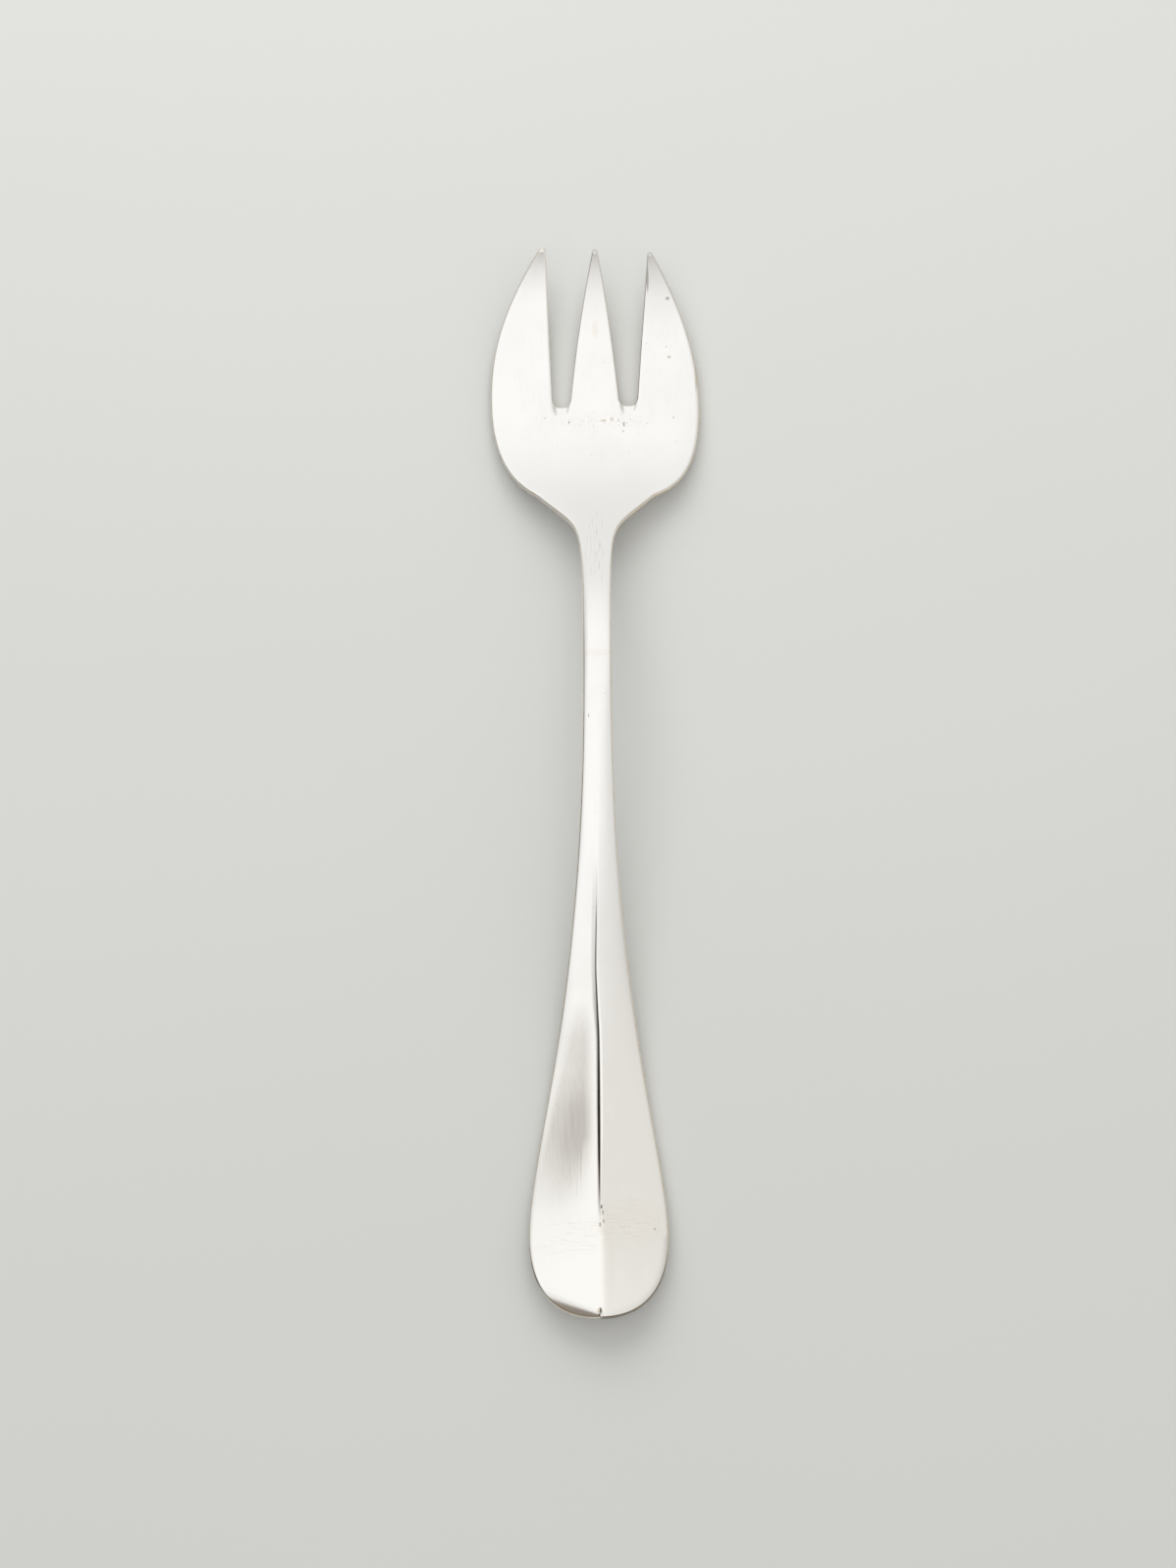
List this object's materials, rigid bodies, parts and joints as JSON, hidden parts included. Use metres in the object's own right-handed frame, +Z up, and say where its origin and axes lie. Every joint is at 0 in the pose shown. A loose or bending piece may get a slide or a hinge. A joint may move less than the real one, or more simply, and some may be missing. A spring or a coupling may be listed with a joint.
{
  "type": "oyster fork",
  "caption": "Short broad fork with stout pointed tines, a slim arched stem and a ridged flat handle, for lifting shellfish out of the shell.",
  "frame": {"origin": "middle of the fork's box in plan, on the table that it rests on", "axes": "+Y along the fork from the handle end to the tine tips, +Z up out of the front of the fork, +X to the right of someone who looks down on it with the tines pointing away"},
  "size_m": [0.0292, 0.15, 0.0116],
  "materials": {
    "silver_plate": "polished silver plate on white metal, worn to a soft shine, with fine scratches, small dark pits and yellowed edges"
  },
  "bodies": {
    "root": {"oyster_fork": "silver_plate"}
  },
  "joints": []
}
